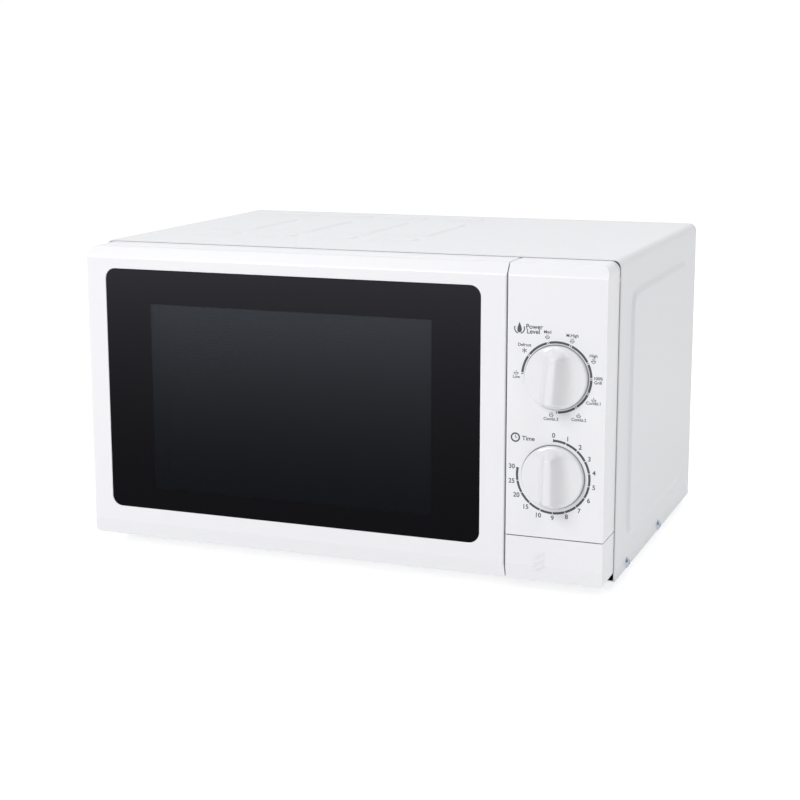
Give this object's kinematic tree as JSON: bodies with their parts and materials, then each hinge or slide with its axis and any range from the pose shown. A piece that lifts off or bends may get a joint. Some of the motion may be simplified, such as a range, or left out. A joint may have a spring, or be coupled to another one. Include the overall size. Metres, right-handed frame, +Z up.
{
  "type": "microwave oven",
  "caption": "Counter-top microwave oven with a side-hinged window door, turntable, grill element, two rotary dials and a push-to-open button.",
  "frame": {"origin": "on the floor plane, below the middle of the whole appliance", "axes": "+X to the control panel side, +Y to the back, +Z up"},
  "size_m": [0.4448, 0.347, 0.259],
  "materials": {
    "cover_enamel": "white powder coat, semi-gloss",
    "white_abs": "white moulded ABS, semi-gloss",
    "tinted_glass": "toughened glass with a black print",
    "cavity_enamel": "light grey enamel",
    "galvanised_steel": "zinc-coated sheet",
    "zinc_steel": "bright zinc plate",
    "black_steel": "black enamel",
    "black_rubber": "moulded",
    "black_nylon": "moulded",
    "white_nylon": "moulded",
    "grey_abs": "moulded",
    "heater_steel": "heat-tinted stainless sheath",
    "mica": "pressed mica sheet",
    "aluminium_fins": "stamped",
    "aluminium_can": "drawn",
    "iron_core": "varnished laminations",
    "copper_winding": "enamelled wire",
    "circuit_board": "resin board",
    "lamp_glass": "clear bulb",
    "clear_film": "clear sheet",
    "clear_glass": "pressed glass",
    "spring_steel": "drawn wire"
  },
  "bodies": {
    "chassis": {"base_plate": "galvanised_steel", "button_springs": "spring_steel", "cabinet_cover": "cover_enamel", "capacitor_clamp": "galvanised_steel", "cavity_back": "cavity_enamel", "cavity_floor": "cavity_enamel", "cavity_shell": "cavity_enamel", "control_panel": "white_abs", "cord_gland": "black_nylon", "fan_motor": "iron_core", "fan_shroud": "black_nylon", "feet": "black_rubber", "filter_board": "circuit_board", "front_plate": "cavity_enamel", "grill_clips": "heater_steel", "grill_element": "heater_steel", "hinge_brackets": "galvanised_steel", "hv_capacitor": "aluminium_can", "hv_diode": "black_nylon", "lamp_bulb": "lamp_glass", "lamp_holder": "galvanised_steel", "latch_board": "black_nylon", "magnetron": "aluminium_fins", "microswitches": "black_nylon", "power_selector": "white_nylon", "rear_panel": "galvanised_steel", "rear_screws": "zinc_steel", "rear_spacers": "black_nylon", "side_screws": "zinc_steel", "thermostats": "aluminium_can", "timer_unit": "white_nylon", "transformer_coils": "copper_winding", "transformer_core": "iron_core", "turntable_motor": "galvanised_steel", "waveguide": "galvanised_steel", "waveguide_cover": "mica"},
    "door": {"door_frame": "white_abs", "door_glass": "tinted_glass", "hinge_pins": "zinc_steel", "door_panel": "black_steel", "screen_mesh": "black_steel", "door_screws": "zinc_steel", "choke_channel": "galvanised_steel", "choke_cover": "grey_abs", "inner_window": "clear_film", "latch_spring": "spring_steel"},
    "latch_hooks": {"latch_hook": "white_nylon"},
    "button": {"open_button": "white_abs"},
    "lever": {"latch_lever": "white_nylon"},
    "power_dial": {"power_knob": "white_abs", "power_shaft": "white_nylon"},
    "timer_dial": {"timer_knob": "white_abs", "timer_shaft": "white_nylon"},
    "turntable": {"coupler": "white_nylon", "glass_tray": "clear_glass"},
    "ring": {"roller_ring": "white_nylon"},
    "wheel_1": {"roller_1": "white_nylon"},
    "wheel_2": {"roller_2": "white_nylon"},
    "wheel_3": {"roller_3": "white_nylon"},
    "fan": {"fan_blade": "white_nylon"}
  },
  "joints": [
    {"name": "door_hinge", "type": "hinge", "parent": "chassis", "child": "door", "pos_m": [-0.2119, -0.1295, 0.13], "axis": [0, 0, -1], "range_deg": [0, 100]},
    {"name": "button_press", "type": "slide", "parent": "chassis", "child": "button", "axis": [0, 1, 0], "range_m": [0, 0.005], "stiffness_N_per_m": 400, "springref_m": -0.004, "deforming": ["button_springs"]},
    {"name": "hook_lift", "type": "slide", "parent": "door", "child": "latch_hooks", "axis": [0, 0, 1], "range_m": [0, 0.00455], "deforming": ["latch_spring"]},
    {"name": "lever_turn", "type": "hinge", "parent": "chassis", "child": "lever", "pos_m": [0.145, -0.1095, 0.052], "axis": [1, 0, 0], "range_deg": [0, 17.86]},
    {"name": "power_turn", "type": "hinge", "parent": "chassis", "child": "power_dial", "pos_m": [0.1813, -0.1565, 0.1729], "axis": [0, 1, 0], "range_deg": [-92, 174]},
    {"name": "timer_turn", "type": "hinge", "parent": "chassis", "child": "timer_dial", "pos_m": [0.1798, -0.1565, 0.0967], "axis": [0, 1, 0], "range_deg": [0, 280]},
    {"name": "tray_turn", "type": "hinge", "parent": "chassis", "child": "turntable", "pos_m": [-0.0386, 0.0194, 0.04], "axis": [0, 0, 1], "continuous": true},
    {"name": "ring_turn", "type": "hinge", "parent": "chassis", "child": "ring", "pos_m": [-0.0386, 0.0194, 0.0383], "axis": [0, 0, 1], "continuous": true},
    {"name": "wheel_1_turn", "type": "hinge", "parent": "ring", "child": "wheel_1", "pos_m": [0.0454, 0.0194, 0.0383], "axis": [1, 0, 0], "continuous": true},
    {"name": "wheel_2_turn", "type": "hinge", "parent": "ring", "child": "wheel_2", "pos_m": [-0.0806, 0.09215, 0.0383], "axis": [-0.5, 0.866, 0], "continuous": true},
    {"name": "wheel_3_turn", "type": "hinge", "parent": "ring", "child": "wheel_3", "pos_m": [-0.0806, -0.05335, 0.0383], "axis": [-0.5, -0.866, 0], "continuous": true},
    {"name": "fan_spin", "type": "hinge", "parent": "chassis", "child": "fan", "pos_m": [0.167, 0.155, 0.168], "axis": [0, 1, 0], "continuous": true}
  ],
  "couplings": [
    {"joint": "hook_lift", "follows": "button_press", "ratio": 0.9},
    {"joint": "lever_turn", "follows": "button_press", "rad_per_m": 62},
    {"joint": "ring_turn", "follows": "tray_turn", "ratio": 0.5},
    {"joint": "wheel_1_turn", "follows": "tray_turn", "ratio": -6},
    {"joint": "wheel_2_turn", "follows": "tray_turn", "ratio": -6},
    {"joint": "wheel_3_turn", "follows": "tray_turn", "ratio": -6}
  ]
}
